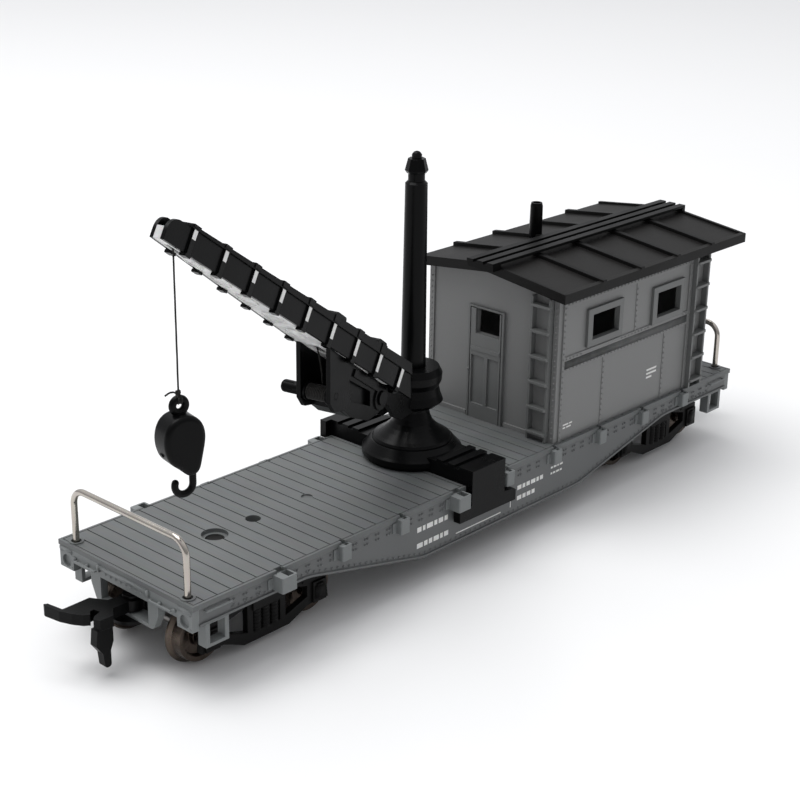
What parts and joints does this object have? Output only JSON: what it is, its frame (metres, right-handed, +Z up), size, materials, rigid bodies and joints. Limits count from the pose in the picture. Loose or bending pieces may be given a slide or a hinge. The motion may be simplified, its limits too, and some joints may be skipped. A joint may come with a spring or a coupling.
{
  "type": "work flat car with pillar crane and crew cabin",
  "caption": "Grey HO scale work flat car with a black swinging pillar crane, hook block on a cord, and a crew cabin with a dark roof",
  "frame": {"origin": "on the rail plane under the middle of the car, midway between the coupler faces, on the centreline", "axes": "+X along the car to the cabin end, +Y across the car to its left side, +Z up"},
  "size_m": [0.1704, 0.0386, 0.0767],
  "materials": {
    "deck_plastic": "grey moulded plastic, slightly worn",
    "underframe_plastic": "grey moulded plastic",
    "cabin_plastic": "grey moulded plastic, satin",
    "cabin_trim": "darker grey moulded plastic",
    "roof_plastic": "black moulded plastic, dull",
    "black_plastic": "black moulded plastic, half gloss",
    "truck_plastic": "black moulded plastic",
    "boom_light": "light grey paint",
    "rail_wire": "bright nickel wire",
    "wheel_metal": "turned wheels, brown blackened",
    "axle_metal": "turned steel",
    "ballast_steel": "plain steel plate",
    "cord_thread": "black twisted nylon thread"
  },
  "bodies": {
    "car": {"deck": "deck_plastic", "centre_sill": "underframe_plastic", "ballast_plate": "ballast_steel", "side_sill_left": "underframe_plastic", "side_sill_right": "underframe_plastic", "end_sill_front": "underframe_plastic", "end_sill_rear": "underframe_plastic", "stake_pockets_left": "underframe_plastic", "stake_pockets_right": "underframe_plastic", "sill_steps": "underframe_plastic", "grab_irons": "underframe_plastic", "end_rail_front": "rail_wire", "end_rail_rear": "rail_wire", "kingpins": "truck_plastic", "front_coupler_pin": "truck_plastic", "rear_coupler_pin": "truck_plastic", "cabin_front_wall": "cabin_plastic", "cabin_rear_wall": "cabin_plastic", "cabin_left_wall": "cabin_plastic", "cabin_right_wall": "cabin_plastic", "cabin_doors": "cabin_trim", "cabin_ladders": "cabin_trim", "window_frames": "cabin_trim", "roof": "roof_plastic", "roof_walk": "roof_plastic", "smoke_jack": "black_plastic", "crane_base": "black_plastic"},
    "front_truck": {"front_truck_frame": "truck_plastic"},
    "rear_truck": {"rear_truck_frame": "truck_plastic"},
    "front_coupler_body": {"front_coupler": "black_plastic"},
    "rear_coupler_body": {"rear_coupler": "black_plastic"},
    "pillar": {"turntable": "black_plastic", "mast": "black_plastic", "mast_cap": "black_plastic", "mast_bracket": "black_plastic"},
    "boom": {"boom_side_left": "black_plastic", "boom_side_right": "black_plastic", "boom_top": "black_plastic", "boom_underside": "boom_light", "tip_pin": "black_plastic", "winch_housing": "black_plastic", "boom_pin": "black_plastic", "boom_cord": "cord_thread"},
    "winch": {"winch_drum": "black_plastic", "winch_knob": "black_plastic"},
    "sheave": {"tip_sheave": "black_plastic"},
    "fall": {"hanging_cord": "cord_thread"},
    "hook_body": {"cord_knot": "cord_thread", "hook_block": "black_plastic", "hook": "black_plastic"},
    "front_outer_wheelset": {"front_outer_axle": "axle_metal", "front_outer_wheels": "wheel_metal"},
    "front_inner_wheelset": {"front_inner_axle": "axle_metal", "front_inner_wheels": "wheel_metal"},
    "rear_inner_wheelset": {"rear_inner_axle": "axle_metal", "rear_inner_wheels": "wheel_metal"},
    "rear_outer_wheelset": {"rear_outer_axle": "axle_metal", "rear_outer_wheels": "wheel_metal"}
  },
  "joints": [
    {"name": "front_truck_swivel", "type": "hinge", "parent": "car", "child": "front_truck", "pos_m": [-0.0558, 0, 0.01214], "axis": [0, 0, 1], "range_deg": [-6, 6]},
    {"name": "rear_truck_swivel", "type": "hinge", "parent": "car", "child": "rear_truck", "pos_m": [0.0558, 0, 0.01214], "axis": [0, 0, 1], "range_deg": [-6, 6]},
    {"name": "front_outer_spin", "type": "hinge", "parent": "front_truck", "child": "front_outer_wheelset", "pos_m": [-0.0676, 0, 0.00555], "axis": [0, 1, 0], "continuous": true},
    {"name": "front_inner_spin", "type": "hinge", "parent": "front_truck", "child": "front_inner_wheelset", "pos_m": [-0.044, 0, 0.00555], "axis": [0, 1, 0], "continuous": true},
    {"name": "rear_inner_spin", "type": "hinge", "parent": "rear_truck", "child": "rear_inner_wheelset", "pos_m": [0.044, 0, 0.00555], "axis": [0, 1, 0], "continuous": true},
    {"name": "rear_outer_spin", "type": "hinge", "parent": "rear_truck", "child": "rear_outer_wheelset", "pos_m": [0.0676, 0, 0.00555], "axis": [0, 1, 0], "continuous": true},
    {"name": "front_coupler_swing", "type": "hinge", "parent": "car", "child": "front_coupler_body", "pos_m": [-0.0735, 0, 0.00995], "axis": [0, 0, 1], "range_deg": [-10, 10], "stiffness_Nm_per_rad": 0.0002},
    {"name": "rear_coupler_swing", "type": "hinge", "parent": "car", "child": "rear_coupler_body", "pos_m": [0.0735, 0, 0.00995], "axis": [0, 0, 1], "range_deg": [-10, 10], "stiffness_Nm_per_rad": 0.0002},
    {"name": "slew", "type": "hinge", "parent": "car", "child": "pillar", "pos_m": [-0.0074, 0, 0.01938], "axis": [0, 0, 1], "range_deg": [-110, 85]},
    {"name": "luff", "type": "hinge", "parent": "pillar", "child": "boom", "pos_m": [-0.02452, -0.00408, 0.0333], "axis": [-0.2317, 0.9728, 0], "range_deg": [0, 28]},
    {"name": "winch_turn", "type": "hinge", "parent": "boom", "child": "winch", "pos_m": [-0.03872, -0.00746, 0.0383], "axis": [-0.2317, 0.9728, 0], "range_deg": [-192, 568]},
    {"name": "sheave_turn", "type": "hinge", "parent": "boom", "child": "sheave", "pos_m": [-0.07452, -0.01599, 0.07382], "axis": [-0.2317, 0.9728, 0], "range_deg": [-200, 600]},
    {"name": "fall_plumb", "type": "hinge", "parent": "boom", "child": "fall", "pos_m": [-0.07452, -0.01599, 0.07382], "axis": [-0.2317, 0.9728, 0], "range_deg": [-28.5, 0.5]},
    {"name": "hoist", "type": "slide", "parent": "fall", "child": "hook_body", "axis": [0, 0, 1], "range_m": [-0.004, 0.012], "deforming": ["hanging_cord"]}
  ],
  "couplings": [
    {"joint": "fall_plumb", "follows": "luff", "ratio": -1},
    {"joint": "winch_turn", "follows": "hoist", "rad_per_m": 819.67},
    {"joint": "sheave_turn", "follows": "hoist", "rad_per_m": 855.33}
  ]
}
